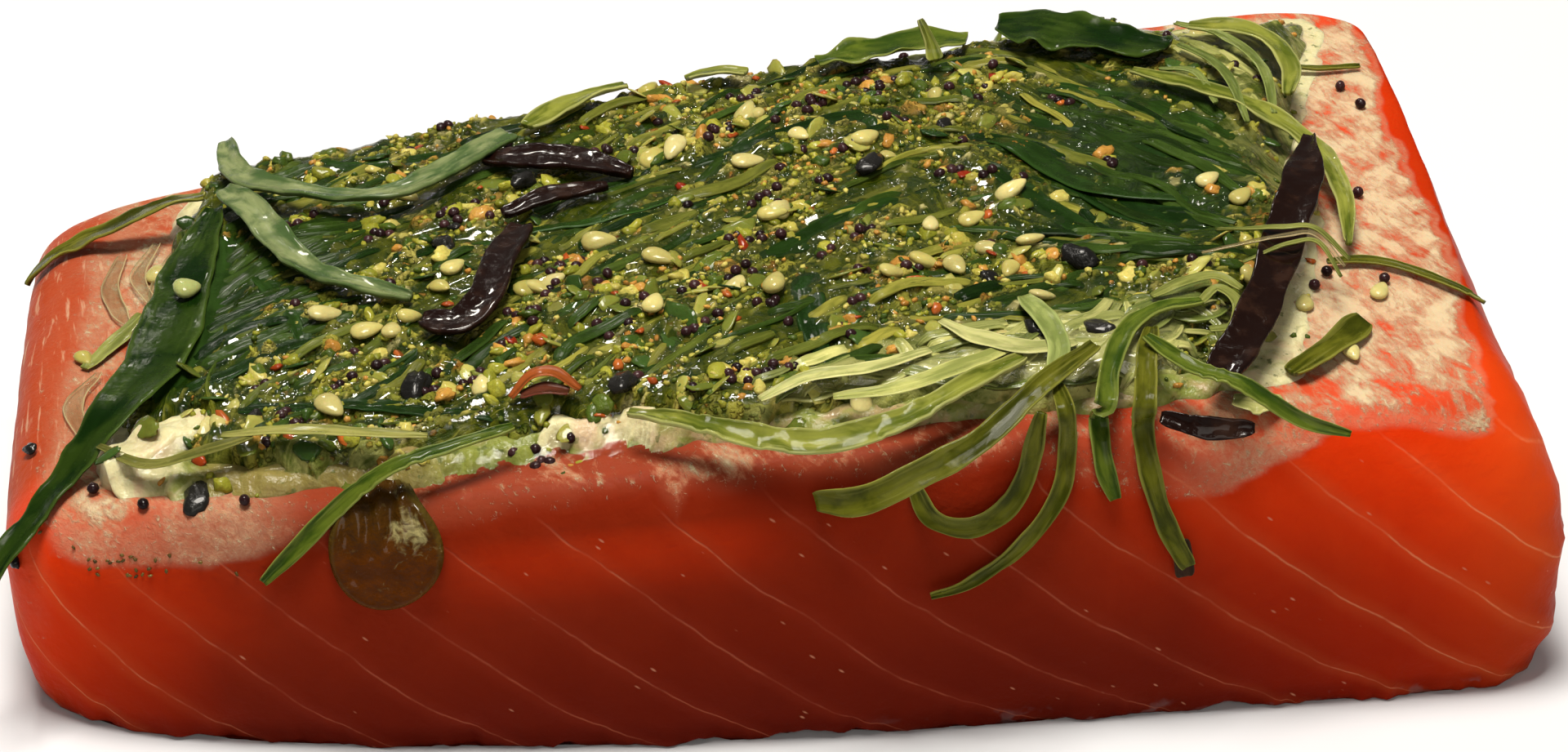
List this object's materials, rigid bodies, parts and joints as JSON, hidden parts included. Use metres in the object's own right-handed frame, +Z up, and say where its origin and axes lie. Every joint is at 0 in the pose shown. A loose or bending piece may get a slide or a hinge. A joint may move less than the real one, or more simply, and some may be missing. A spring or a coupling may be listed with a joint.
{
  "type": "smoked salmon fillet",
  "caption": "Thick rectangular portion of smoked salmon fillet with a thin cream spread and a topping of seaweed salad with sesame and poppy seeds; rests on its flat skin side",
  "frame": {"origin": "under the middle of the whole portion's bounding box, on the table", "axes": "+X along the long cut face to the right end, +Y from the front cut face to the back one, +Z up"},
  "size_m": [0.1338, 0.0782, 0.0362],
  "materials": {
    "salmon_flesh": "moist smoked salmon flesh, deep orange red with pale fat lines",
    "cream_cheese": "soft cream spread, pale ivory",
    "seaweed_salad": "glossy dressed seaweed with seeds and spices",
    "wakame": "wet seaweed strip, green",
    "wood_ear": "wet wood ear mushroom strip, dark purple brown"
  },
  "bodies": {
    "root": {"salmon_fillet": "salmon_flesh", "cream_spread": "cream_cheese", "seaweed_salad": "seaweed_salad", "wakame_arc_back": "wakame", "wakame_back_left": "wakame", "wakame_back_rib": "wakame", "wakame_back_thread": "wakame", "wakame_blade": "wakame", "wakame_border": "wakame", "wakame_crossing": "wakame", "wakame_curl": "wakame", "wakame_disc": "wakame", "wakame_fold": "wakame", "wakame_front_left": "wakame", "wakame_front_rope": "wakame", "wakame_hook": "wakame", "wakame_leaf_back": "wakame", "wakame_left_edge": "wakame", "wakame_loop_back": "wakame", "wakame_right_short": "wakame", "wakame_right_thread": "wakame", "wakame_ring": "wakame", "wakame_sheet_back": "wakame", "wakame_sprig": "wakame", "wakame_tail": "wakame", "wakame_tall": "wakame", "wood_ear_back": "wood_ear", "wood_ear_bent": "wood_ear", "wood_ear_front": "wood_ear", "wood_ear_right": "wood_ear", "wood_ear_side": "wood_ear"}
  },
  "joints": []
}
